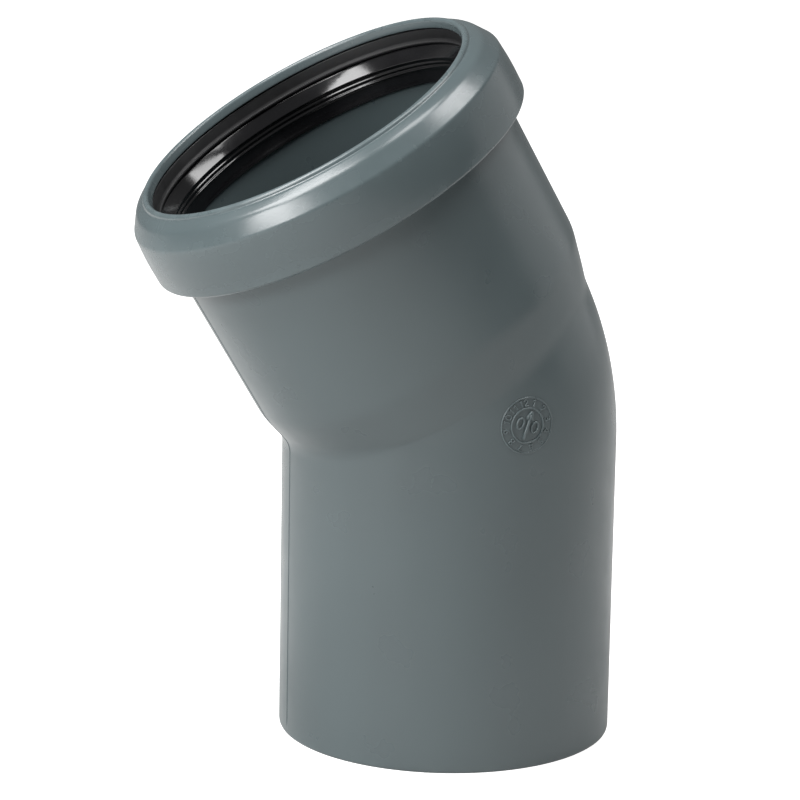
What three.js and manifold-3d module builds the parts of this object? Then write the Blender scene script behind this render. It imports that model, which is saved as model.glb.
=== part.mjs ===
// A 30 degree push-fit drainage bend in rigid PVC, nominal size 110 mm.
// A plain spigot points down and a ring-seal socket leans away at 30 degrees.
// The socket holds a rubber lip seal on a stiff support ring, and a cap closes it.
// Units are millimetres, +Z is up, and the symmetry plane is XZ.

import * as THREE from 'three';
import * as BufferGeometryUtils from 'three/addons/utils/BufferGeometryUtils.js';
import Module from 'manifold-3d';

// ---- Driving dimensions -------------------------------------------------------

const ROUND_STEPS = 60;                    // facets round every pipe section
const BEND_ANGLE = THREE.MathUtils.degToRad(30);
const BEND_CENTRE_HEIGHT = 116.8;          // spigot end to where the two axes cross
const BEND_RADIUS = 33;                    // centreline radius of the bend

const PIPE_RADIUS = 55;                    // outside of the spigot and of a mating pipe
const SPIGOT_WALL = 3.2;
const SPIGOT_CHAMFER_LENGTH = 1.6;
const SPIGOT_CHAMFER_DEPTH = 0.8;

const SOCKET_RADIUS = 59.2;                // outside of the socket tube
const SOCKET_BORE_RADIUS = 55.5;
const SHOULDER_START = 12;                 // along the socket axis from the bend centre
const SHOULDER_END = 25;
const SHOULDER_SHIFT = 1;                  // how much later the bore widens than the outside

const FIT_GAP = 0.3;                       // between neighbouring pieces
const PAST_END = 1;                        // how far a bore is cut beyond the end it opens

const CUP_RADIUS = 63;                     // outside of the flange that carries the seal
const CUP_BORE_RADIUS = 61;
const CUP_START = 79.2;
const CUP_FLOOR = 83;
const CUP_END = 94.9;

const CAP_RADIUS = 66.4;
const CAP_START = 78.4;
const CAP_CHAMFER = 0.8;
const BAND_END = 95.6;                     // where the cap's band turns into its cone
const BAND_DRAFT = 0.3;                    // how far the band narrows before that turn
const CONE_END = 102.1;                    // foot of the rim that stands on the cone
const CONE_END_RADIUS = 59.7;
const CAP_TAPER_INSIDE = 0.7;              // room between the cup's end and the cone's inside
const RIM_FOOT_RADIUS = 58.7;
const RIM_END = 103.9;                     // mouth plane of the socket
const RIM_INNER_RADIUS = 56.3;
const RIM_OUTER_RADIUS = 57.6;
const RIM_CHAMFER = 0.7;
const THROAT_RADIUS = 55.8;                // narrow end of the lead-in inside the rim
const THROAT_END = 101.3;
const WEB_UNDERSIDE = 100.6;               // face of the cap that holds the seal down
const WEB_RADIUS = 58;

const RING_INNER_RADIUS = 56;
const RING_TOP_WIDTH = 1.3;

const LIP_RADIUS = 54;                     // narrowest ring of the rubber lip
const LIP_TIP = 81.8;
const LIP_THICKNESS = 0.7;
const SEAL_BLOCK_RADIUS = 57.4;            // inside of the block that sits in the cup
const SEAL_MOUTH_RADIUS = 56.2;            // wide end of the guiding cone
const GROOVE_END = 85.4;                   // bottom of the groove behind the lip
const RIB_GROOVE_RADIUS = 54.8;            // between the ribs, and above and below them
const UPPER_RIB = 88.8;
const LOWER_RIB = 87.2;

// ---- Geometry helpers ---------------------------------------------------------

const wasm = await Module();
wasm.setup();

// Solid for boolean work, from any closed three.js geometry.
function toSolid(geometry) {
  const bare = geometry.index ? geometry.toNonIndexed() : geometry.clone();
  bare.deleteAttribute('normal');
  bare.deleteAttribute('uv');
  const merged = BufferGeometryUtils.mergeVertices(bare, 1e-4);
  const corners = merged.index.array;
  const faces = [];
  for (let i = 0; i < corners.length; i += 3) {
    const [a, b, c] = [corners[i], corners[i + 1], corners[i + 2]];
    if (a !== b && b !== c && c !== a) faces.push(a, b, c);
  }
  return new wasm.Manifold(new wasm.Mesh({
    numProp: 3,
    vertProperties: new Float32Array(merged.attributes.position.array),
    triVerts: new Uint32Array(faces),
  }));
}

function toGeometry(solid) {
  const mesh = solid.getMesh();
  const geometry = new THREE.BufferGeometry();
  geometry.setAttribute('position', new THREE.BufferAttribute(mesh.vertProperties, 3));
  geometry.setIndex(new THREE.BufferAttribute(mesh.triVerts, 1));
  geometry.computeVertexNormals();
  return geometry;
}

// Solid of revolution about +Z. The profile is a list of [height, radius] pairs, and it
// runs so that the material lies on its left when radius is drawn to the right.
function revolve(profile) {
  const points = profile.map(([height, radius]) => new THREE.Vector2(radius, height));
  const geometry = new THREE.LatheGeometry(points, ROUND_STEPS);
  geometry.rotateX(Math.PI / 2);
  return geometry;
}

// Closes a ring profile on itself.
function closeRing(profile) {
  return [...profile, profile[0]];
}

// Puts a shape drawn along +Z onto the socket axis, with its zero at the bend centre.
function ontoSocketAxis(geometry) {
  geometry.rotateY(-BEND_ANGLE);
  geometry.translate(0, 0, BEND_CENTRE_HEIGHT);
  return geometry;
}

// ---- Bend body ----------------------------------------------------------------

// Outer skin and bore both follow the same bend: a straight leg, a part of a ring turned
// about the bend's own centre line, and the second leg. That centre line lies inside the
// pipe, so the ring only shows on the outside of the bend.
const TANGENT_LENGTH = BEND_RADIUS * Math.tan(BEND_ANGLE / 2);
const TURN_HEIGHT = BEND_CENTRE_HEIGHT - TANGENT_LENGTH;
const FACET_ANGLE = (2 * Math.PI) / ROUND_STEPS;

// Section of the pipe on the far side of the turning line, as a profile round that line.
function sectionProfile(radius) {
  const halfChord = Math.sqrt(radius ** 2 - BEND_RADIUS ** 2);
  const lastStep = Math.floor(Math.acos(-BEND_RADIUS / radius) / FACET_ANGLE);
  const points = [new THREE.Vector2(0, -halfChord)];
  for (let step = -lastStep; step <= lastStep; step++) {
    const angle = step * FACET_ANGLE;
    const distance = BEND_RADIUS + radius * Math.cos(angle);
    points.push(new THREE.Vector2(distance, radius * Math.sin(angle)));
  }
  points.push(new THREE.Vector2(0, halfChord));
  return points;
}

// The sector runs one facet into each straight leg, where it lies inside the leg.
function turnedSector(radius) {
  const ring = new THREE.LatheGeometry(sectionProfile(radius), ROUND_STEPS);
  const reach = 4 * PIPE_RADIUS;
  const wedge = new THREE.Shape();
  wedge.moveTo(0, 0);
  for (const angle of [-FACET_ANGLE, BEND_ANGLE + FACET_ANGLE]) {
    wedge.lineTo(reach * Math.cos(angle), reach * Math.sin(angle));
  }
  const prism = new THREE.ExtrudeGeometry(wedge, { depth: reach, bevelEnabled: false });
  prism.rotateX(Math.PI / 2);
  prism.translate(0, reach / 2, 0);
  const sector = toSolid(ring).intersect(toSolid(prism));
  return sector.translate([-BEND_RADIUS, 0, TURN_HEIGHT]);
}

function bendBody() {
  const boreRadius = PIPE_RADIUS - SPIGOT_WALL;
  const spigot = revolve([
    [0, 0],
    [0, PIPE_RADIUS - SPIGOT_CHAMFER_DEPTH],
    [SPIGOT_CHAMFER_LENGTH, PIPE_RADIUS],
    [TURN_HEIGHT, PIPE_RADIUS],
    [TURN_HEIGHT, 0],
  ]);
  const socket = ontoSocketAxis(revolve([
    [TANGENT_LENGTH, 0],
    [TANGENT_LENGTH, PIPE_RADIUS],
    [SHOULDER_START, PIPE_RADIUS],
    [SHOULDER_END, SOCKET_RADIUS],
    [CUP_START, SOCKET_RADIUS],
    [CUP_START, CUP_RADIUS],
    [CUP_END, CUP_RADIUS],
    [CUP_END, 0],
  ]));
  const spigotBore = revolve([
    [-PAST_END, 0],
    [-PAST_END, boreRadius],
    [TURN_HEIGHT, boreRadius],
    [TURN_HEIGHT, 0],
  ]);
  const socketBore = ontoSocketAxis(revolve([
    [TANGENT_LENGTH, 0],
    [TANGENT_LENGTH, boreRadius],
    [SHOULDER_START + SHOULDER_SHIFT, boreRadius],
    [SHOULDER_END + SHOULDER_SHIFT, SOCKET_BORE_RADIUS],
    [CUP_FLOOR, SOCKET_BORE_RADIUS],
    [CUP_FLOOR, CUP_BORE_RADIUS],
    [CUP_END + PAST_END, CUP_BORE_RADIUS],
    [CUP_END + PAST_END, 0],
  ]));
  const skin = toSolid(spigot).add(turnedSector(PIPE_RADIUS)).add(toSolid(socket));
  const bore = toSolid(spigotBore).add(turnedSector(boreRadius)).add(toSolid(socketBore));
  return toGeometry(skin.subtract(bore));
}

// ---- Socket rings -------------------------------------------------------------

// The cap grips the cup from outside. Its web holds the seal down, and its rim guides
// the pipe in.
function retainingCap() {
  const bore = CUP_RADIUS + FIT_GAP;
  return ontoSocketAxis(revolve(closeRing([
    [CAP_START, bore],
    [CAP_START, CAP_RADIUS - CAP_CHAMFER],
    [CAP_START + CAP_CHAMFER, CAP_RADIUS],
    [BAND_END - 10 * BAND_DRAFT, CAP_RADIUS - BAND_DRAFT],
    [BAND_END, CAP_RADIUS - 3 * BAND_DRAFT],
    [98, 64.3],
    [100.2, 62.3],
    [CONE_END, CONE_END_RADIUS],
    [CONE_END + BAND_DRAFT, RIM_FOOT_RADIUS],
    [RIM_END - RIM_CHAMFER, RIM_FOOT_RADIUS - BAND_DRAFT],
    [RIM_END, RIM_OUTER_RADIUS],
    [RIM_END, RIM_INNER_RADIUS],
    [THROAT_END + 2 * RIM_CHAMFER, RIM_INNER_RADIUS - BAND_DRAFT],
    [THROAT_END, THROAT_RADIUS],
    [WEB_UNDERSIDE, THROAT_RADIUS],
    [WEB_UNDERSIDE, WEB_RADIUS],
    [CUP_END + CAP_TAPER_INSIDE, bore],
  ])));
}

// A stiff ring between the cap's web and the rubber, which keeps the lip from being
// pushed down the socket.
function sealSupportRing() {
  const top = WEB_UNDERSIDE - FIT_GAP;
  const bottom = CUP_END + FIT_GAP;
  return ontoSocketAxis(revolve(closeRing([
    [bottom, RING_INNER_RADIUS],
    [bottom, CUP_RADIUS - FIT_GAP],
    [top, RING_INNER_RADIUS + FIT_GAP + RING_TOP_WIDTH],
    [top, RING_INNER_RADIUS + FIT_GAP],
  ])));
}

// Rubber ring: a block held in the cup, a smooth guiding cone, two ribs, and a lip that
// points down the socket with a groove behind it.
function lipSeal() {
  const outer = CUP_BORE_RADIUS - FIT_GAP;
  const bottom = CUP_FLOOR + FIT_GAP;
  return ontoSocketAxis(revolve(closeRing([
    [bottom, SEAL_BLOCK_RADIUS],
    [bottom, outer],
    [CUP_END, outer],
    [CUP_END, SEAL_MOUTH_RADIUS],
    [CUP_END - 0.4, SEAL_MOUTH_RADIUS - 0.6],
    [UPPER_RIB + 1.9, LIP_RADIUS],
    [UPPER_RIB + 1.3, RIB_GROOVE_RADIUS],
    [UPPER_RIB + 0.6, RIB_GROOVE_RADIUS],
    [UPPER_RIB, LIP_RADIUS + 0.2],
    [UPPER_RIB - 0.6, RIB_GROOVE_RADIUS],
    [LOWER_RIB + 0.6, RIB_GROOVE_RADIUS],
    [LOWER_RIB, LIP_RADIUS + 0.3],
    [LOWER_RIB - 0.8, RIB_GROOVE_RADIUS],
    [LIP_TIP, LIP_RADIUS + 0.3],
    [LIP_TIP, LIP_RADIUS + 0.3 + LIP_THICKNESS],
    [GROOVE_END, SEAL_BLOCK_RADIUS - 1],
  ])));
}

// ---- Assembly -----------------------------------------------------------------

function material(color, roughness) {
  return new THREE.MeshStandardMaterial({ color, roughness, metalness: 0 });
}

function part(name, geometry, look) {
  const mesh = new THREE.Mesh(geometry, look);
  mesh.name = name;
  return mesh;
}

const fitting = new THREE.Group();
fitting.add(
  part('bend_body', bendBody(), material(0x5f7071, 0.38)),
  part('retaining_cap', retainingCap(), material(0x647576, 0.32)),
  part('lip_seal', lipSeal(), material(0x0c0c0d, 0.2)),
  part('seal_support_ring', sealSupportRing(), material(0x121314, 0.5)),
);

// The origin is the bottom centre of the object's box.
const extent = new THREE.Box3().setFromObject(fitting, true);
const middle = extent.getCenter(new THREE.Vector3());
fitting.position.set(-middle.x, -middle.y, -extent.min.z);
fitting.updateMatrixWorld(true);

export default fitting;
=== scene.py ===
"""Looks of a 30 degree push-fit drain bend: grey moulded PVC, a pressed-on cap and a black lip seal.

Lengths are metres in the row frame: +Z runs up the spigot, the socket leans towards -X.
"""
import math

import bpy
import numpy as np
from mathutils import Matrix, Vector


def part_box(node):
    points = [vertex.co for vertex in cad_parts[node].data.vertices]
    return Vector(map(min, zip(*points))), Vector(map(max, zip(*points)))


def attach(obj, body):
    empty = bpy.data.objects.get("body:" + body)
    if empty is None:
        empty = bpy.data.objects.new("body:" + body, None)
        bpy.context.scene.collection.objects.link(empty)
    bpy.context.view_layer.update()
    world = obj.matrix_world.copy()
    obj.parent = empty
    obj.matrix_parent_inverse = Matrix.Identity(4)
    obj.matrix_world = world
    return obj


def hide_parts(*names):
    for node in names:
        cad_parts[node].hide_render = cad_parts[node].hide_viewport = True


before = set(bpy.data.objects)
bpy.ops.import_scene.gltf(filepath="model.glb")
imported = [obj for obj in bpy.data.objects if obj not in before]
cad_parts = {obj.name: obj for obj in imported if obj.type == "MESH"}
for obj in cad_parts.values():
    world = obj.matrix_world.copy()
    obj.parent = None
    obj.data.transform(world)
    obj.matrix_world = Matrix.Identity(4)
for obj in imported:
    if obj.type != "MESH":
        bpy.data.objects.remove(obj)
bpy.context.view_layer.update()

MM = 0.001

# ---- Driving dimensions --------------------------------------------------------------------
# The pipe, the bend, the socket and the cup are the CAD model's. The shoulder and the trimmed
# outside of the bend follow the photo more closely than the CAD does.

PIPE_RADIUS = 55 * MM
WALL = 3.2 * MM
BORE = PIPE_RADIUS - WALL
BEND_ANGLE = math.radians(30)
BEND_RADIUS = 33 * MM
BEND_CENTRE_HEIGHT = 116.8 * MM                       # where the two legs' axes meet
AXIS_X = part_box("bend_body")[1].x - PIPE_RADIUS       # where the spigot axis stands
OUTER_BEND_RADIUS = 68 * MM                           # slower turn that trims the outside of the bend
OUTER_BEND_EASE = 0.04 * MM                           # rounding between the two turns

SOCKET_RADIUS = 59.0 * MM                             # just above the shoulder
SOCKET_DRAFT = 0.5 * MM                               # how much wider the tube is under the cap
SOCKET_BORE = 55.5 * MM
SHOULDER = (8.5 * MM, 26 * MM)                        # along the socket axis
SHOULDER_EASE = 2.5 * MM                              # rounding at either end of the step
SHOULDER_TILT = 2.6 * MM                              # the step sits lower inside the bend
CREASE_FILLET = 2.2 * MM                              # where the legs meet inside the bend
CREASE_RUN = 15 * MM                                  # distance over which that fillet grows

CUP_START, CUP_FLOOR, CUP_END = 79.2 * MM, 83 * MM, 94.9 * MM
CUP_RADIUS, CUP_BORE = 63 * MM, 61 * MM
CUP_ROUNDING = 0.4 * MM
CUP_FLOOR_CHAMFER = 0.3 * MM
UNDER_CUP_FILLET = ((0.5, 0.08), (0.12, 0.4), (0, 0.9))         # below the cup and out from the tube, mm

# Section of the spigot's end: height, depth into the wall from the bore or from the outside (mm), wear.
SPIGOT_INNER_EDGE = ((0.7, 0, 0.2), (0.25, 0.1, 0.7), (0, 0.4, 1), (0, 1.4, 0.4))
SPIGOT_OUTER_EDGE = ((0, 1.0, 0.8), (0.06, 0.65, 1), (0.3, 0.3, 1), (0.75, 0.08, 0.9), (1.4, 0, 0.5),
                     (2.6, 0, 0.15))

FAN_START = 30 * MM                                   # both legs' distance from where their axes meet
FAN_HEIGHT = BEND_CENTRE_HEIGHT - FAN_START

# Rings on the straight stretches, in the order in which the surface passes them.
SPIGOT_RINGS = np.linspace(5 * MM, FAN_HEIGHT - 3 * MM, 14)
SOCKET_RINGS = np.linspace(FAN_START + 2 * MM, CUP_START - 1.2 * MM, 16)
SOCKET_BORE_RINGS = np.linspace(CUP_FLOOR - 8 * MM, FAN_START + 3 * MM, 8)
SPIGOT_BORE_RINGS = np.linspace(FAN_HEIGHT - 5 * MM, 3 * MM, 10)

# ---- Mesh helpers --------------------------------------------------------------------------

WEAR_AND_SHEEN = "edge_wear_and_dial_sheen"                                    # mesh attribute: how rubbed each point is; over the whole date dial it is a painted highlight


def direction(angle, tilt):
    """Unit vectors across a leg: angle runs round the pipe, tilt is how far the leg leans."""
    cos, sin = np.cos(angle), np.sin(angle)
    return np.stack([cos * math.cos(tilt), sin, cos * math.sin(tilt)], -1)


def socket_point(along):
    """Point of the socket axis at a distance from where the two axes meet."""
    return np.array([-math.sin(BEND_ANGLE) * along, 0, BEND_CENTRE_HEIGHT + math.cos(BEND_ANGLE) * along])


def new_piece(name, points, faces, wear_and_sheen):
    """Smooth object from points whose x is measured from the spigot axis."""
    mesh = bpy.data.meshes.new(name)
    mesh.from_pydata((points + np.array([AXIS_X, 0, 0])).tolist(), [], faces)
    mesh.update()
    mesh.shade_smooth()
    attribute = mesh.attributes.new(WEAR_AND_SHEEN, "FLOAT", "POINT")
    attribute.data.foreach_set("value", np.asarray(wear_and_sheen, np.float32))
    piece = bpy.data.objects.new(name, mesh)
    bpy.context.scene.collection.objects.link(piece)
    return piece


def ring_piece(name, rings, wear_and_sheen):
    """Closed surface through rings of points, the last ring joined back to the first."""
    rings = np.array(rings)
    count, around = rings.shape[:2]
    index = np.arange(count * around).reshape(count, around)
    after = np.roll(index, -1, 0)
    faces = np.stack([index, np.roll(index, -1, 1), np.roll(after, -1, 1), after], -1).reshape(-1, 4)
    return new_piece(name, rings.reshape(-1, 3), faces.tolist(), np.repeat(wear_and_sheen, around))


def rounded(corners, steps):
    """Closed outline with its corners rounded. A corner is (along, radius, fillet, wear) in mm."""
    points, wear_and_sheen = [], []
    count = len(corners)
    for i, (along, radius, fillet, worn_and_sheen) in enumerate(corners):
        here = np.array([along, radius], float)
        before = np.array(corners[i - 1][:2], float) - here
        ahead = np.array(corners[(i + 1) % count][:2], float) - here
        reach = min(fillet, 0.49 * np.linalg.norm(before), 0.49 * np.linalg.norm(ahead))
        start = here + before / np.linalg.norm(before) * reach
        end = here + ahead / np.linalg.norm(ahead) * reach
        for t in np.linspace(0, 1, steps):
            points.append(((1 - t) ** 2 * start + 2 * t * (1 - t) * here + t * t * end) * MM)
            wear_and_sheen.append(worn_and_sheen)
    return np.array(points), np.array(wear_and_sheen)


def revolve(name, corners, around, steps=5, ripple=None):
    """Ring turned about the socket axis from a rounded outline."""
    outline, wear_and_sheen = rounded(corners, steps)
    angle = np.linspace(0, 2 * math.pi, around, endpoint=False)
    rings = []
    for along, radius in outline:
        radii = np.full(around, radius)
        if ripple is not None:
            radii = radii + ripple(along, radius, angle)
        rings.append(socket_point(along) + radii[:, None] * direction(angle, BEND_ANGLE))
    return ring_piece(name, rings[::-1], wear_and_sheen[::-1])


# ---- Smooth steps and joins ----------------------------------------------------------------


def smoothstep(value, low, high):
    t = np.clip((value - low) / (high - low), 0, 1)
    return t * t * (3 - 2 * t)


def bell(distance, width):
    return np.exp(-(distance / width) ** 2)


def smooth_min(a, b, reach):
    """Lower of two values, rounded where they are closer together than the reach."""
    reach = np.maximum(reach, 1e-9)
    overlap = np.clip(1 - np.abs(a - b) / reach, 0, 1)
    return np.minimum(a, b) - overlap ** 2 * reach / 4


def smooth_max(a, b, reach):
    return -smooth_min(-a, -b, reach)


def ramp(value, low, high, ease):
    """Straight step from 0 to 1 whose two corners are rounded over the given reach."""
    t = smooth_max(value - low, 0, ease)
    return smooth_min(t, high - low, ease) / (high - low)


# ---- The bend's skin -----------------------------------------------------------------------

WALL_BETWEEN = (40 * MM, 75 * MM)                     # every wall lies this far from its ring's middle
SEARCH_STEPS = 40


def socket_skin(along, across):
    """Radius of the socket's outside, shoulder included. across is -1 inside the bend, 1 outside."""
    start, end = SHOULDER
    step = ramp(along - SHOULDER_TILT * across, start, end, SHOULDER_EASE)
    draft = SOCKET_DRAFT * np.clip((along - end) / (CUP_START - end), 0, 1)
    return PIPE_RADIUS + (SOCKET_RADIUS - PIPE_RADIUS) * step + draft


def socket_bore(along, across):
    """Radius of the socket's inside, whose step stands a little above the outside's."""
    start, end = SHOULDER
    step = ramp(along - SHOULDER_TILT * across, start + MM, end + MM, SHOULDER_EASE)
    return BORE + (SOCKET_BORE - BORE) * step


def turned_leg(x, y, z, bend_radius, spigot, socket, leg_radius):
    """Gap outside two straight legs joined by part of a ring, and the distance out from the ring's axis."""
    turn_x = x + bend_radius
    turn_z = z - BEND_CENTRE_HEIGHT + bend_radius * math.tan(BEND_ANGLE / 2)
    turned = np.hypot(np.hypot(turn_x, turn_z) - bend_radius, y) - leg_radius
    turn = np.arctan2(turn_z, turn_x)
    return np.where(turn < 0, spigot, np.where(turn < BEND_ANGLE, turned, socket)), turn_x


def wall_gap(points, leg_radius, socket_radius):
    """How far points stand outside the bend's wall, below zero inside it."""
    x, y, z = points[..., 0], points[..., 1], points[..., 2]
    rise = z - BEND_CENTRE_HEIGHT
    along = -math.sin(BEND_ANGLE) * x + math.cos(BEND_ANGLE) * rise
    across = math.cos(BEND_ANGLE) * x + math.sin(BEND_ANGLE) * rise
    spigot = np.hypot(x, y) - leg_radius
    reach = np.hypot(across, y)
    radius = socket_radius(along, across / np.maximum(reach, MM))
    socket = reach - radius
    tight, turn_x = turned_leg(x, y, z, BEND_RADIUS, spigot, socket, leg_radius)
    slow, _ = turned_leg(x, y, z, OUTER_BEND_RADIUS, spigot, socket, radius)
    bend = smooth_max(tight, slow, OUTER_BEND_EASE)
    crease = smooth_min(spigot, socket, CREASE_FILLET * np.clip(-turn_x / CREASE_RUN, 0, 1))
    return np.where(turn_x > 0, bend, crease)


def search(low, high, holds):
    """Where a test stops holding between two bounds, found for every point at once by halving."""
    for _ in range(SEARCH_STEPS):
        middle = (low + high) / 2
        held = holds(middle)
        low, high = np.where(held, middle, low), np.where(held, high, middle)
    return (low + high) / 2


def bend_rings(angles, leg_radius, socket_radius, steps=64):
    """Rings round the bend, on planes that fan out from a line beyond its inside."""
    pivot = FAN_START / math.tan(BEND_ANGLE / 2)
    found = []
    for tilt in np.linspace(0, BEND_ANGLE, steps):
        origin = np.array([pivot * (math.cos(tilt) - 1), 0, FAN_HEIGHT + pivot * math.sin(tilt)])
        outward = direction(angles, tilt)

        def inside(radii):
            return wall_gap(origin + radii[:, None] * outward, leg_radius, socket_radius) < 0

        nearest, farthest = (np.full(len(angles), bound) for bound in WALL_BETWEEN)
        found.append((origin, tilt, search(nearest, farthest, inside)))
    return found


# ---- Marks that the mould leaves -----------------------------------------------------------

PARTING_LINES = [0.0, math.pi]                        # angles round the pipe
SEAM_STEPS = np.array([1.3, 0.8, 0.5, 0.38, 0.28, 0.2, 0.12, 0.05]) * MM / PIPE_RADIUS
SEAM_REACH = 1.5 * MM / PIPE_RADIUS
FLASH_HEIGHT, FLASH_WIDTH = 0.10 * MM, 0.14 * MM
GROOVE_DEPTH, GROOVE_WIDTH, GROOVE_OFFSET = 0.16 * MM, 0.15 * MM, 0.34 * MM
MISMATCH = 0.05 * MM                                  # one mould half stands this much proud
MISMATCH_RISE = (-0.5 * MM, 0.2 * MM)                 # across the parting line
MISMATCH_FADE = (1.5 * MM, 14 * MM)                   # away from the parting line
GATE_ALONG, GATE_RADIUS = 25.5 * MM, 58.4 * MM        # along the socket axis and out from it
GATE_HEIGHT, GATE_WIDTH = 0.55 * MM, 0.9 * MM


def pipe_angles():
    """Angles round the pipe, closer together at the two parting lines."""
    def from_seam(angle):
        return min(abs(math.remainder(angle - line, 2 * math.pi)) for line in PARTING_LINES)
    base = np.linspace(0, 2 * math.pi, 192, endpoint=False)
    far = [angle for angle in base if from_seam(angle) > SEAM_REACH]
    near = [line + sign * step for line in PARTING_LINES for step in SEAM_STEPS for sign in (-1, 1)]
    return np.sort(np.mod(np.array(far + near + PARTING_LINES), 2 * math.pi))


def seam(angle, radius):
    """Height of the parting line: a low flash, a groove on its near side and a small step."""
    arc = np.sin(angle) * radius
    flash = FLASH_HEIGHT * bell(arc, FLASH_WIDTH)
    groove = GROOVE_DEPTH * bell(arc + GROOVE_OFFSET, GROOVE_WIDTH)
    step = MISMATCH * smoothstep(arc, *MISMATCH_RISE) * (1 - smoothstep(np.abs(arc), *MISMATCH_FADE))
    return flash - groove + step


def gate_mark(points):
    """Small nub left where the plastic was cut off, on the outside of the shoulder."""
    centre = socket_point(GATE_ALONG) + GATE_RADIUS * direction(0, BEND_ANGLE)
    return GATE_HEIGHT * bell(np.linalg.norm(points - centre, axis=-1), GATE_WIDTH)


# ---- The moulded body ----------------------------------------------------------------------

UP, DOWN, OUT, IN = np.array([[1, 0], [-1, 0], [0, 1], [0, -1]])          # along the axis, out from it


def cup_corner(along, radius, arriving, leaving):
    """Three places that round a corner of the cup's section between two directions."""
    here = np.array([along, radius])
    return [here - CUP_ROUNDING * arriving,
            here + CUP_ROUNDING / 4 * (leaving - arriving),
            here + CUP_ROUNDING * leaving]


def cup_section():
    """Section of the cup that holds the seal, from its outer lower edge to the socket's bore."""
    return [
        *cup_corner(CUP_START, CUP_RADIUS, OUT, UP),
        *cup_corner(CUP_END, CUP_RADIUS, UP, IN),
        *cup_corner(CUP_END, CUP_BORE, IN, DOWN),
        (CUP_FLOOR + CUP_FLOOR_CHAMFER, CUP_BORE),
        (CUP_FLOOR, CUP_BORE - CUP_FLOOR_CHAMFER),
        *cup_corner(CUP_FLOOR, SOCKET_BORE, IN, DOWN),
        (CUP_FLOOR - 2 * MM, SOCKET_BORE),
    ]


def bend_body():
    """Spigot, bend, shoulder, socket tube and cup as one surface: up the outside and down the bore."""
    angles = pipe_angles()
    across = np.cos(angles)
    upward = np.array([0, 0, 1.0])
    rings, wear_and_sheen = [], []

    def add(origin, tilt, radii, worn_and_sheen=0.0, outer=False):
        radii = np.broadcast_to(radii, angles.shape).astype(float)
        outward = direction(angles, tilt)
        if outer:
            radii = radii + seam(angles, radii)
            radii = radii + gate_mark(origin + radii[:, None] * outward)
        rings.append(origin + radii[:, None] * outward)
        wear_and_sheen.append(worn_and_sheen)

    for height, depth, worn_and_sheen in SPIGOT_INNER_EDGE:
        add(upward * height * MM, 0, BORE + depth * MM, worn_and_sheen)
    for height, depth, worn_and_sheen in SPIGOT_OUTER_EDGE:
        add(upward * height * MM, 0, PIPE_RADIUS - depth * MM, worn_and_sheen)
    for height in SPIGOT_RINGS:
        add(upward * height, 0, PIPE_RADIUS, outer=True)
    for origin, tilt, radii in bend_rings(angles, PIPE_RADIUS, socket_skin):
        add(origin, tilt, radii, outer=True)
    for along in SOCKET_RINGS:
        add(socket_point(along), BEND_ANGLE, socket_skin(along, across), outer=True)
    for below, out in UNDER_CUP_FILLET:
        add(socket_point(CUP_START - below * MM), BEND_ANGLE, socket_skin(CUP_START, across) + out * MM)
    for along, radius in cup_section():
        add(socket_point(along), BEND_ANGLE, radius)
    for along in SOCKET_BORE_RINGS:
        add(socket_point(along), BEND_ANGLE, SOCKET_BORE)
    for origin, tilt, radii in bend_rings(angles, BORE, socket_bore)[::-1]:
        add(origin, tilt, radii)
    for height in SPIGOT_BORE_RINGS:
        add(upward * height, 0, BORE)
    return ring_piece("bend_body_moulding", rings, wear_and_sheen)


# ---- Moulded date dial ---------------------------------------------------------------------

DIAL_CENTRE = (6.1 * MM, 114.2 * MM)                  # across and up, seen from the front
DIAL_TURN = math.radians(11.5)                        # the dial's insert stands turned to the left
OUTER_RING, INNER_RING = 8.95 * MM, 5.6 * MM
NUMBER_RING, NUMBER_SIZE = 7.3 * MM, 2.1 * MM
ZERO_OFFSET, ZERO_SIZE = 2.7 * MM, 3.5 * MM
ARROW_TURN = math.radians(19)
ARROW_SHAFT = (-4.6, -2, 1, 3.6)                      # along the arrow, mm
ARROW_BARB = ((4.6, 0), (3.2, 0.55), (1.9, 0.95))     # along and across it, mm

# The marks stand lower on the dial's lower right, where the photo shows them faint.
FADE_FROM, FADE_TO = math.radians(95), math.radians(215)        # clockwise from the top
FADE_MIDDLE = (FADE_FROM + FADE_TO) / 2
FADE_RADII = (5.5 * MM, 7 * MM)
FADE_DEPTH = 0.65

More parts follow.
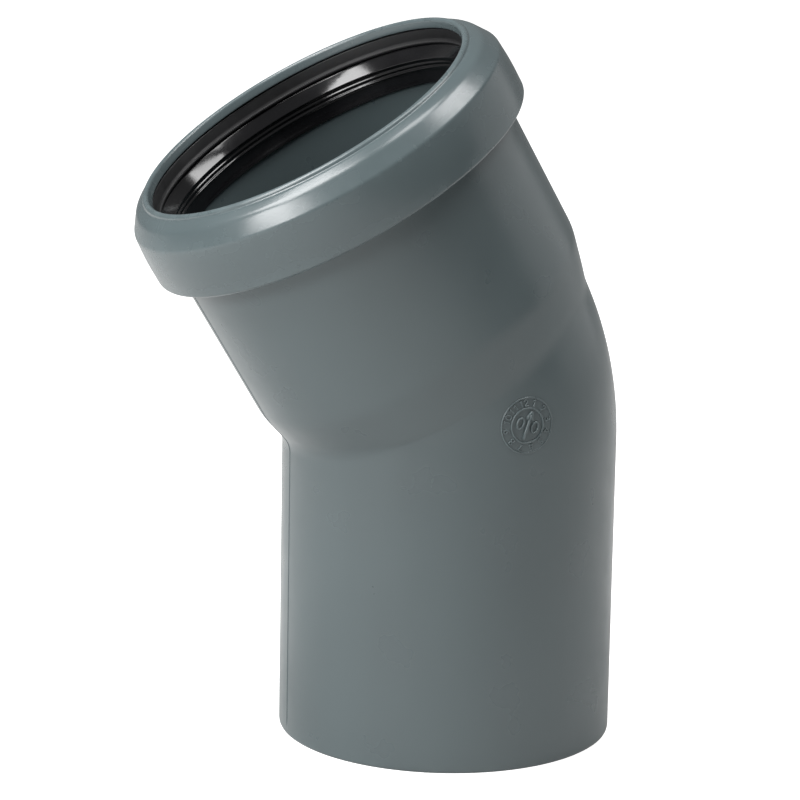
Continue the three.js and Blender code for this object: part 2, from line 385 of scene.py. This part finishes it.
# Stroke paths of the ten digits on a field one unit wide and 1.6 high.
DIGIT_HEIGHT = 1.6
DIGIT_PITCH = 1.35
DIGITS = {
    "0": [[(0.5, 1.6), (0.88, 1.35), (1, 0.8), (0.88, 0.25), (0.5, 0), (0.12, 0.25), (0, 0.8), (0.12, 1.35)]],
    "1": [[(0.15, 1.2), (0.4, 1.4), (0.6, 1.6)], [(0.6, 1.6), (0.6, 0.8), (0.6, 0)]],
    "2": [[(0.05, 1.2), (0.25, 1.53), (0.6, 1.58), (0.92, 1.25), (0.7, 0.75), (0.3, 0.35), (0.02, 0)],
          [(0.02, 0), (0.5, 0), (1, 0)]],
    "3": [[(0.08, 1.4), (0.45, 1.6), (0.88, 1.35), (0.8, 0.98), (0.42, 0.85)],
          [(0.42, 0.85), (0.86, 0.7), (0.95, 0.3), (0.5, 0), (0.05, 0.2)]],
    "4": [[(0.75, 0), (0.75, 0.8), (0.75, 1.6)], [(0.75, 1.6), (0.37, 1.05), (0, 0.5)],
          [(0, 0.5), (0.5, 0.5), (1, 0.5)]],
    "5": [[(0.9, 1.6), (0.5, 1.6), (0.2, 1.6)], [(0.2, 1.6), (0.15, 1.25), (0.12, 0.9)],
          [(0.12, 0.9), (0.5, 1.02), (0.9, 0.8), (0.93, 0.3), (0.5, 0), (0.05, 0.15)]],
    "6": [[(0.8, 1.58), (0.35, 1.2), (0.08, 0.6), (0.2, 0.1), (0.55, 0), (0.92, 0.3), (0.85, 0.75),
           (0.5, 0.9), (0.15, 0.65)]],
    "7": [[(0, 1.6), (0.5, 1.6), (1, 1.6)], [(1, 1.6), (0.65, 0.8), (0.35, 0)]],
    "8": [[(0.5, 0.85), (0.16, 1.1), (0.22, 1.48), (0.5, 1.6), (0.78, 1.48), (0.84, 1.1), (0.5, 0.85),
           (0.08, 0.5), (0.15, 0.1), (0.5, 0), (0.85, 0.1), (0.92, 0.5), (0.5, 0.85)]],
    "9": [[(0.2, 0.02), (0.65, 0.4), (0.92, 1), (0.8, 1.5), (0.45, 1.6), (0.08, 1.3), (0.15, 0.85),
           (0.5, 0.7), (0.85, 0.95)]],
}

# Section across a raised stroke: part of half its width, part of its height.
STROKE_SECTION = ((-1, -0.6), (-0.92, 0.3), (-0.55, 0.85), (0, 1), (0.55, 0.85), (0.92, 0.3), (1, -0.6))


def flowing(points, closed, steps=5):
    """Smooth curve through the points."""
    points = np.array(points, float)
    count = len(points)

    def at(i):
        return points[i % count] if closed else points[min(max(i, 0), count - 1)]

    curve = []
    for i in range(count if closed else count - 1):
        a, b, c, d = at(i - 1), at(i), at(i + 1), at(i + 2)
        for t in np.linspace(0, 1, steps, endpoint=False):
            curve.append(0.5 * (2 * b + (c - a) * t + (2 * a - 5 * b + 4 * c - d) * t ** 2
                                + (3 * b - 3 * c + d - a) * t ** 3))
    if not closed:
        curve.append(points[-1])
    return np.array(curve)


def body_gap(points):
    return wall_gap(points, PIPE_RADIUS, socket_skin)


def onto_wall(flat, height):
    """Points on the front of the body for places on the dial, raised by a height."""
    x = DIAL_CENTRE[0] + flat[:, 0]
    z = DIAL_CENTRE[1] + flat[:, 1]
    farthest, nearest = (np.full(len(flat), -bound) for bound in WALL_BETWEEN[::-1])
    y = search(farthest, nearest, lambda y: body_gap(np.stack([x, y, z], -1)) > 0)
    found = np.stack([x, y, z], -1)
    steps = np.eye(3) * 0.05 * MM
    slope = np.stack([body_gap(found + step) - body_gap(found - step) for step in steps], -1)
    normal = slope / np.linalg.norm(slope, axis=-1, keepdims=True)
    return found + normal * height[:, None]


class Relief:
    """Collects raised strokes into one mesh."""

    def __init__(self):
        self.points, self.faces = [], []

    def stroke(self, path, width, height, closed=False):
        """Raises a rounded bar along a path of places on the dial."""
        path = np.asarray(path, float)
        if closed:
            ahead = np.roll(path, -1, 0) - np.roll(path, 1, 0)
        else:
            ahead = np.gradient(path, axis=0)
        ahead /= np.linalg.norm(ahead, axis=-1, keepdims=True)
        side = np.stack([ahead[:, 1], -ahead[:, 0]], -1)
        clock = np.mod(np.arctan2(path[:, 0], path[:, 1]), 2 * math.pi)
        fade = smoothstep(clock, FADE_FROM, FADE_MIDDLE) * (1 - smoothstep(clock, FADE_MIDDLE, FADE_TO))
        outer = smoothstep(np.linalg.norm(path, axis=-1), *FADE_RADII)
        raised = height * (1 - FADE_DEPTH * fade * outer)
        grid = np.stack([
            onto_wall(path + side * across * width / 2, raised * rise)
            for across, rise in STROKE_SECTION
        ], 1)
        count, wide = grid.shape[:2]
        start = sum(len(points) for points in self.points)
        self.points.append(grid.reshape(-1, 3))
        index = (start + np.arange(count * wide).reshape(count, wide)).tolist()
        for i in range(count if closed else count - 1):
            here, there = index[i], index[(i + 1) % count]
            for j in range(wide):
                k = (j + 1) % wide
                self.faces.append([here[j], there[j], there[k], here[k]])
        if not closed:
            self.faces.append(index[0])
            self.faces.append(index[-1][::-1])

    def text(self, text, centre, size, turn, width, height):
        """Digits in a row, centred on a point and turned clockwise."""
        cos, sin = math.cos(turn), math.sin(turn)
        for i, digit in enumerate(text):
            shift = (i - (len(text) - 1) / 2) * DIGIT_PITCH - 0.5
            for line in DIGITS[digit]:
                closed = digit == "0"
                x, y = ((flowing(line, closed) + [shift, -DIGIT_HEIGHT / 2]) * size / DIGIT_HEIGHT).T
                turned = np.stack([x * cos + y * sin, y * cos - x * sin], -1)
                self.stroke(turned + centre, width, height, closed)


def circle(radius, steps):
    angle = np.linspace(0, 2 * math.pi, steps, endpoint=False)
    return radius * np.stack([np.sin(angle), np.cos(angle)], -1)


def date_dial():
    """Two rings, the numbers 1 to 12 between them, and an arrow between two zeros in the middle."""
    relief = Relief()
    relief.stroke(circle(OUTER_RING, 96), width=0.6 * MM, height=0.34 * MM, closed=True)
    relief.stroke(circle(INNER_RING, 72), width=0.7 * MM, height=0.5 * MM, closed=True)
    for month in range(1, 13):
        angle = math.radians(30) * month - DIAL_TURN
        centre = NUMBER_RING * np.array([math.sin(angle), math.cos(angle)])
        relief.text(str(month), centre, NUMBER_SIZE, angle, width=0.5 * MM, height=0.4 * MM)
    along = np.array([math.sin(ARROW_TURN), math.cos(ARROW_TURN)])
    across = np.array([along[1], -along[0]])
    relief.stroke([along * place * MM for place in ARROW_SHAFT], width=1.15 * MM, height=0.8 * MM)
    for side in (-across, across):
        barb = [along * forward * MM + side * apart * MM for forward, apart in ARROW_BARB]
        relief.stroke(barb, width=1.1 * MM, height=0.7 * MM)
        relief.text("0", side * ZERO_OFFSET, ZERO_SIZE, ARROW_TURN, width=0.75 * MM, height=0.65 * MM)
    points = np.concatenate(relief.points)
    # The whole dial is marked fully rubbed, which paints its raised marks paler: a painted highlight.
    return new_piece("date_dial", points, relief.faces, np.ones(len(points)))


# ---- Socket rings --------------------------------------------------------------------------
# Each corner is its place along the socket axis, radius and fillet in mm, and its wear.

RING_TEETH = 480
TOOTH_DEPTH = 0.45 * MM
TOOTH_TOP, TOOTH_FADE = 96.3 * MM, 0.5 * MM           # along the socket axis
TOOTH_RADIUS = 57 * MM                                # only the ring's inner side has teeth


def retaining_cap():
    return revolve("retaining_cap_moulding", [
        (78.4, 63.3, 0.25, 0.3), (78.4, 65.55, 0.25, 1), (79.05, 66.25, 0.5, 0.9), (87, 66.42, 5, 0),
        (95.3, 65.75, 0.7, 0.5), (100.7, 62.1, 1.2, 0), (102.35, 59.3, 0.5, 0), (102.6, 58.6, 0.35, 0.2),
        (103.45, 58.35, 0.5, 0.8), (104.05, 57.3, 0.8, 1), (103.6, 56.45, 0.7, 1), (102.4, 56.1, 1.2, 0.2),
        (100.95, 55.8, 0.5, 0), (100.6, 56.4, 0.2, 0), (100.6, 58.0, 0.3, 0), (95.6, 63.3, 0.5, 0),
    ], around=320)


def lip_seal():
    return revolve("lip_seal_rubber", [
        (83.3, 57.4, 0.3, 0), (83.3, 60.7, 0.4, 0), (94.9, 60.7, 0.4, 0), (94.9, 56.7, 0.3, 0),
        (94.5, 56.15, 0.35, 0), (90.75, 53.5, 0.4, 0), (90.1, 54.5, 0.3, 0), (89.45, 54.6, 0.3, 0),
        (88.8, 54.15, 0.35, 0), (88.25, 54.8, 0.25, 0), (87.85, 54.8, 0.25, 0), (87.2, 54.25, 0.35, 0),
        (86.5, 54.95, 0.4, 0), (84, 54.75, 2, 0), (81.8, 54.3, 0.3, 0), (81.8, 55.0, 0.3, 0),
        (85.4, 56.4, 0.5, 0),
    ], around=320)


def knurl(along, radius, angle):
    """Fine teeth cut into the lower inner edge of the seal's support ring."""
    if radius > TOOTH_RADIUS or along > TOOTH_TOP:
        return np.zeros_like(angle)
    fade = min(1.0, (TOOTH_TOP - along) / TOOTH_FADE)
    return -TOOTH_DEPTH * fade * (0.5 + 0.5 * np.cos(RING_TEETH * angle))


def seal_support_ring():
    return revolve("seal_support_ring_plastic", [
        (95.2, 56.0, 0.15, 0), (95.2, 62.7, 0.3, 0), (100.3, 57.6, 0.4, 0), (100.3, 56.3, 0.3, 0),
        (96.9, 56.25, 0.2, 0), (96.3, 56.0, 0.2, 0), (95.7, 55.95, 0.1, 0),
    ], around=RING_TEETH * 4, steps=3, ripple=knurl)


# ---- Materials -----------------------------------------------------------------------------


class Nodes:
    """Short forms for building a node material."""

    def __init__(self, name):
        self.material = bpy.data.materials.new(name)
        self.material.use_nodes = True
        self.tree = self.material.node_tree
        self.tree.nodes.clear()
        self.output = self.tree.nodes.new("ShaderNodeOutputMaterial")
        self.shader = self.tree.nodes.new("ShaderNodeBsdfPrincipled")
        self.tree.links.new(self.shader.outputs[0], self.output.inputs["Surface"])
        self.place = self.tree.nodes.new("ShaderNodeTexCoord").outputs["Object"]

    def feed(self, socket, value):
        """Gives an input its value, or a link where the value is another node's output."""
        if isinstance(value, bpy.types.NodeSocket):
            self.tree.links.new(value, socket)
        else:
            socket.default_value = value

    def add(self, kind, inputs=(), **settings):
        node = self.tree.nodes.new(kind)
        for key, value in settings.items():
            setattr(node, key, value)
        for key, value in dict(inputs).items():
            self.feed(node.inputs[key], value)
        return node

    def noise(self, scale, detail, roughness=0.55, place=None):
        return self.add("ShaderNodeTexNoise", {
            "Vector": place or self.place, "Scale": scale, "Detail": detail, "Roughness": roughness,
        }).outputs["Fac"]

    def remap(self, value, low, high, to_low, to_high):
        return self.add("ShaderNodeMapRange", {
            "Value": value, "From Min": low, "From Max": high, "To Min": to_low, "To Max": to_high,
        }).outputs["Result"]

    def math(self, operation, a, b):
        return self.add("ShaderNodeMath", {0: a, 1: b}, operation=operation).outputs[0]

    def mix(self, factor, a, b):
        """Mixes two colours; the colour form's inputs are 0, 6 and 7 and its output is 2."""
        return self.add("ShaderNodeMix", {0: factor, 6: a, 7: b}, data_type="RGBA").outputs[2]

    def stretched(self, x, y, z):
        return self.add("ShaderNodeMapping", {"Vector": self.place, "Scale": (x, y, z)}).outputs["Vector"]

    def bump(self, height, distance, strength, below=None):
        inputs = {"Height": height, "Distance": distance, "Strength": strength}
        if below is not None:
            inputs["Normal"] = below
        return self.add("ShaderNodeBump", inputs).outputs["Normal"]

    def set(self, **sockets):
        for name, value in sockets.items():
            self.feed(self.shader.inputs[name.replace("_", " ")], value)


def rgb(red, green, blue):
    return (red, green, blue, 1.0)


def scaled(colour, factor):
    return tuple(factor * channel for channel in colour)


def moulded_pvc(name, colour, roughness):
    """Semi-gloss moulded PVC: slow colour drift, faint flow marks, fine grain, paler rubbed edges, and the
    date dial painted paler as a painted highlight.
    """
    look = Nodes(name)
    drift = look.remap(look.noise(scale=14, detail=2), 0.25, 0.75, 0, 1)
    base = look.mix(drift, rgb(*scaled(colour, 0.90)), rgb(*scaled(colour, 1.10)))
    flow = look.noise(scale=30, detail=2, roughness=0.5, place=look.stretched(1, 1, 0.16))
    base = look.mix(look.remap(flow, 0.25, 0.8, 0, 0.4), base, rgb(*scaled(colour, 1.2)))
    specks = look.remap(look.noise(scale=900, detail=1), 0.80, 0.84, 0, 0.3)
    base = look.mix(specks, base, rgb(0.03, 0.035, 0.036))
    # Paler where marked rubbed: real wear on the edges, and a painted highlight over the whole date dial.
    worn_and_sheen = look.add("ShaderNodeAttribute", attribute_name=WEAR_AND_SHEEN).outputs["Fac"]
    patchy = look.remap(look.noise(scale=160, detail=4), 0.38, 0.66, 0.15, 1)
    rubbed_and_sheen = look.math("MULTIPLY", worn_and_sheen, patchy)
    base = look.mix(look.math("MULTIPLY", rubbed_and_sheen, 0.22), base, rgb(*scaled(colour, 1.9)))
    rough = look.remap(look.noise(scale=55, detail=3), 0.25, 0.75, roughness - 0.05, roughness + 0.06)
    rough = look.math("ADD", rough, look.math("MULTIPLY", rubbed_and_sheen, 0.12))
    waves = look.bump(look.noise(scale=34, detail=2), distance=0.35 * MM, strength=0.35)
    grain = look.bump(look.noise(scale=1500, detail=3), distance=0.02 * MM, strength=0.3, below=waves)
    look.set(Base_Color=base, Roughness=rough, Normal=grain, IOR=1.5)
    return look.material


def seal_rubber():
    """Glossy black rubber with a thin paler bloom in patches."""
    look = Nodes("black_seal_rubber")
    bloom = look.remap(look.noise(scale=40, detail=5), 0.45, 0.75, 0, 1)
    base = look.mix(bloom, rgb(0.004, 0.004, 0.0045), rgb(0.010, 0.010, 0.011))
    rough = look.remap(look.noise(scale=120, detail=4), 0.3, 0.7, 0.08, 0.17)
    fine = look.bump(look.noise(scale=700, detail=3), distance=0.02 * MM, strength=0.4)
    look.set(Base_Color=base, Roughness=rough, Normal=fine, IOR=1.46)
    return look.material


def ring_plastic():
    """Dull black plastic with a fine grain."""
    look = Nodes("black_ring_plastic")
    base = look.mix(look.noise(scale=60, detail=4), rgb(0.005, 0.005, 0.0055), rgb(0.012, 0.012, 0.013))
    rough = look.remap(look.noise(scale=200, detail=4), 0.3, 0.7, 0.42, 0.55)
    fine = look.bump(look.noise(scale=1200, detail=3), distance=0.03 * MM, strength=0.6)
    look.set(Base_Color=base, Roughness=rough, Normal=fine, IOR=1.45)
    return look.material


def floor_paint():
    """Pale matt floor that glows for the camera, so that it meets the white surroundings."""
    look = Nodes("pale_floor")
    base = look.mix(look.noise(scale=3, detail=3), rgb(0.56, 0.56, 0.555), rgb(0.60, 0.60, 0.595))
    seen = look.add("ShaderNodeLightPath").outputs["Is Camera Ray"]
    glow = look.remap(seen, 0, 1, 0.12, 0.9)
    look.set(Base_Color=base, Roughness=0.8, Emission_Color=rgb(1, 1, 1), Emission_Strength=glow)
    return look.material


# ---- Putting the pieces on the frame -------------------------------------------------------

PVC = (0.0575, 0.0750, 0.0790)
BODY_LOOK = moulded_pvc("grey_pvc_body", PVC, 0.30)
CAP_LOOK = moulded_pvc("grey_pvc_cap", scaled(PVC, 1.02), 0.24)


def place(piece, node, slot, look):
    """Puts a piece on the one body, in place of a CAD node, with its look. The slot is not used."""
    piece.data.materials.append(look)
    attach(piece, "root")
    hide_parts(node)


place(bend_body(), "bend_body", "pvc_body", BODY_LOOK)
place(date_dial(), "bend_body", "pvc_body", BODY_LOOK)
place(retaining_cap(), "retaining_cap", "pvc_cap", CAP_LOOK)
place(lip_seal(), "lip_seal", "seal_rubber", seal_rubber())
place(seal_support_ring(), "seal_support_ring", "ring_plastic", ring_plastic())

# ---- Stage, light and camera ---------------------------------------------------------------

FLOOR_REACH = 6.0
MIDDLE = Vector((AXIS_X - 17.4 * MM, 0, 111.4 * MM))  # what the lights and the camera point at
CAMERA_AZIMUTH, CAMERA_ELEVATION = -19.5, 13.3        # degrees
CAMERA_ROLL = math.radians(1.05)
CAMERA_DISTANCE = 1.2035
LENS, SENSOR_WIDTH = 165.7, 36                        # mm, as Blender's cameras take them
WHITE = rgb(1, 1, 1)


def floor():
    corners = [(x * FLOOR_REACH, y * FLOOR_REACH, 0) for x, y in ((-1, -1), (1, -1), (1, 1), (-1, 1))]
    mesh = bpy.data.meshes.new("floor")
    mesh.from_pydata(corners, [], [(0, 1, 2, 3)])
    piece = bpy.data.objects.new("floor", mesh)
    bpy.context.scene.collection.objects.link(piece)
    mesh.materials.append(floor_paint())


def bearing(azimuth, elevation):
    """Unit vector towards a compass bearing seen from the part: 0 is the front, 90 the right."""
    turn, lift = math.radians(azimuth), math.radians(elevation)
    return Vector((math.sin(turn) * math.cos(lift), -math.cos(turn) * math.cos(lift), math.sin(lift)))


def softbox(name, azimuth, elevation, distance, width, height, watts):
    """Rectangular light that stands on a bearing and faces the part."""
    light = bpy.data.lights.new(name, "AREA")
    light.shape = "RECTANGLE"
    light.size, light.size_y = width, height
    light.energy = watts
    lamp = bpy.data.objects.new(name, light)
    towards = bearing(azimuth, elevation)
    lamp.location = MIDDLE + towards * distance
    lamp.rotation_euler = towards.to_track_quat("Z", "Y").to_euler()
    bpy.context.scene.collection.objects.link(lamp)


def world_light(strength):
    """Soft light from all round, plain white where the camera sees it."""
    world = bpy.data.worlds.new("studio")
    world.use_nodes = True
    background = world.node_tree.nodes["Background"]
    background.inputs["Color"].default_value = WHITE
    seen = world.node_tree.nodes.new("ShaderNodeLightPath").outputs["Is Camera Ray"]
    level = world.node_tree.nodes.new("ShaderNodeMapRange")
    level.inputs["To Min"].default_value = strength
    level.inputs["To Max"].default_value = 1.0
    world.node_tree.links.new(seen, level.inputs["Value"])
    world.node_tree.links.new(level.outputs["Result"], background.inputs["Strength"])
    bpy.context.scene.world = world


def camera():
    """The photo's view, rolled by about a degree."""
    back = bearing(CAMERA_AZIMUTH, CAMERA_ELEVATION)
    turn = math.radians(CAMERA_AZIMUTH)
    right = Vector((math.cos(turn), math.sin(turn), 0))
    up = back.cross(right)
    cos, sin = math.cos(CAMERA_ROLL), math.sin(CAMERA_ROLL)
    axes = Matrix((right * cos + up * sin, up * cos - right * sin, back)).transposed().to_4x4()
    data = bpy.data.cameras.new("camera")
    data.sensor_width = SENSOR_WIDTH
    data.lens = LENS
    data.clip_end = 50
    view = bpy.data.objects.new("camera", data)
    view.matrix_world = Matrix.Translation(MIDDLE + back * CAMERA_DISTANCE) @ axes
    bpy.context.scene.collection.objects.link(view)
    bpy.context.scene.camera = view


floor()
softbox("left_softbox", azimuth=-66, elevation=20.5, distance=1.2, width=0.58, height=0.32, watts=9.5)
softbox("left_key", azimuth=-86, elevation=49, distance=1.5, width=0.8, height=0.8, watts=30)
softbox("right_softbox", azimuth=69, elevation=62, distance=1.2, width=0.56, height=0.34, watts=7)
softbox("right_fill", azimuth=96, elevation=12, distance=1.6, width=1.5, height=0.8, watts=2.6)
softbox("overhead", azimuth=0, elevation=84, distance=1.3, width=0.5, height=0.5, watts=7)
world_light(0.19)
camera()
bpy.context.scene.view_settings.view_transform = "Standard"
